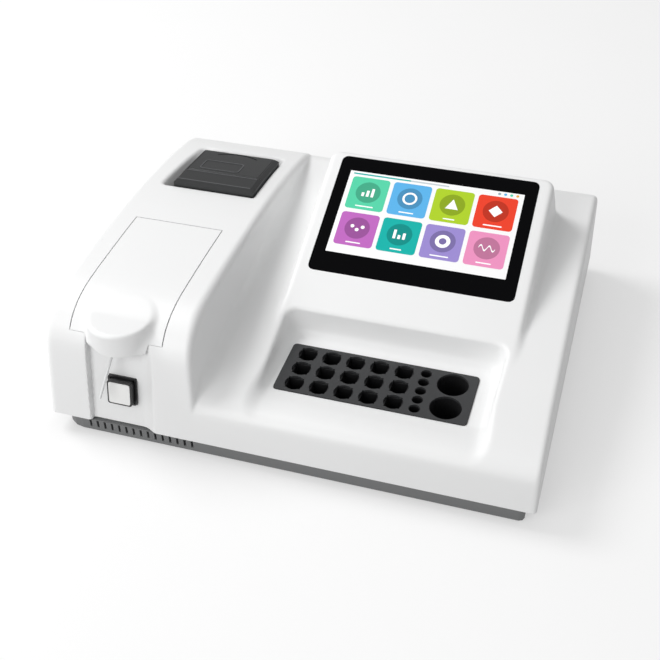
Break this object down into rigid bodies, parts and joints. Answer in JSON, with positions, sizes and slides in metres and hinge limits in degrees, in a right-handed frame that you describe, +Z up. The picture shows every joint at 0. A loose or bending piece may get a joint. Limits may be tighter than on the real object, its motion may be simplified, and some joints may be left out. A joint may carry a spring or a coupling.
{
  "type": "semi-automatic chemistry analyzer",
  "caption": "Bench chemistry analyzer: white cover on a grey tray, tilted touch screen, cuvette incubator, lidded flow cell tower with probe and start button, and receipt printer.",
  "frame": {"origin": "on the table, under the middle of the whole instrument, with the probe's tip counted in its depth", "axes": "+X to the operator's right, along the long side; +Y to the rear; +Z up"},
  "size_m": [0.4, 0.3442, 0.1319],
  "materials": {
    "cover_white": "satin",
    "tray_grey": "fine texture",
    "charcoal_plastic": "fine texture",
    "black_plastic": "semi-gloss",
    "plate_dark": "satin",
    "block_metal": "dark anodised",
    "display_glass": "gloss",
    "clear_glass": "gloss",
    "steel": "brushed",
    "aluminium": "machined",
    "green_board": "solder mask",
    "amber_film": "film",
    "paper": "thermal paper",
    "rubber_black": "matt",
    "brass": "plain",
    "clear_hose": "clear"
  },
  "bodies": {
    "housing": {"aspiration_needle": "steel", "base_tray": "tray_grey", "button_bezel": "black_plastic", "button_switch": "charcoal_plastic", "cover_screw_1": "steel", "cover_screw_2": "steel", "cover_screw_3": "steel", "cover_screw_4": "steel", "detector_board": "green_board", "display_bracket": "steel", "display_module": "steel", "door_hinge_pin": "steel", "fan_frame": "charcoal_plastic", "filter_motor": "charcoal_plastic", "flow_cell": "clear_glass", "flow_cell_holder": "block_metal", "foot_1": "rubber_black", "foot_2": "rubber_black", "foot_3": "rubber_black", "foot_4": "rubber_black", "heater_pad": "amber_film", "incubator_block": "block_metal", "incubator_plate": "plate_dark", "lamp": "clear_glass", "lamp_heat_sink": "aluminium", "lens_barrel": "black_plastic", "lid_hinge_pin": "steel", "main_board": "green_board", "mains_inlet": "black_plastic", "needle_holder": "charcoal_plastic", "optical_bench": "aluminium", "power_supply": "steel", "print_head": "steel", "printer_housing": "charcoal_plastic", "pump_head": "clear_hose", "pump_motor": "steel", "rear_panel": "tray_grey", "sample_hose": "clear_hose", "screen_glass": "display_glass", "serial_port": "steel", "switch_frame": "black_plastic", "top_cover": "cover_white", "usb_port": "steel", "waste_fitting": "brass"},
    "lid": {"flow_cell_lid": "cover_white"},
    "start_button": {"button_cap": "black_plastic", "button_lens": "cover_white"},
    "paper_door": {"printer_door": "charcoal_plastic"},
    "rocker": {"power_rocker": "charcoal_plastic"},
    "pump_wheel": {"pump_rotor": "cover_white"},
    "filter_disc": {"filter_wheel": "block_metal"},
    "fan": {"fan_rotor": "black_plastic"},
    "roll": {"paper_roll": "paper"},
    "platen": {"platen_roller": "rubber_black"}
  },
  "joints": [
    {"name": "lid_hinge", "type": "hinge", "parent": "housing", "child": "lid", "pos_m": [-0.136, -0.017, 0.1125], "axis": [-1, 0, 0], "range_deg": [0, 75]},
    {"name": "start_press", "type": "slide", "parent": "housing", "child": "start_button", "axis": [0, 0.9781, -0.2079], "range_m": [0, 0.002], "stiffness_N_per_m": 500},
    {"name": "door_hinge", "type": "hinge", "parent": "housing", "child": "paper_door", "pos_m": [-0.1297, 0.0695, 0.11426], "axis": [1, 0, 0], "range_deg": [0, 95]},
    {"name": "power_rock", "type": "hinge", "parent": "housing", "child": "rocker", "pos_m": [0.086, 0.1645, 0.035], "axis": [-1, 0, 0], "range_deg": [0, 16]},
    {"name": "pump_spin", "type": "hinge", "parent": "housing", "child": "pump_wheel", "pos_m": [-0.122, -0.0448, 0.0686], "axis": [0, 0, 1], "continuous": true},
    {"name": "filter_spin", "type": "hinge", "parent": "housing", "child": "filter_disc", "pos_m": [-0.157, -0.0838, 0.062], "axis": [1, 0, 0], "continuous": true},
    {"name": "fan_spin", "type": "hinge", "parent": "housing", "child": "fan", "pos_m": [-0.134, 0.1441, 0.0358], "axis": [0, 1, 0], "continuous": true},
    {"name": "roll_spin", "type": "hinge", "parent": "housing", "child": "roll", "pos_m": [-0.1297, 0.0891, 0.0773], "axis": [1, 0, 0], "continuous": true},
    {"name": "platen_spin", "type": "hinge", "parent": "housing", "child": "platen", "pos_m": [-0.1297, 0.0604, 0.1065], "axis": [1, 0, 0], "continuous": true}
  ]
}
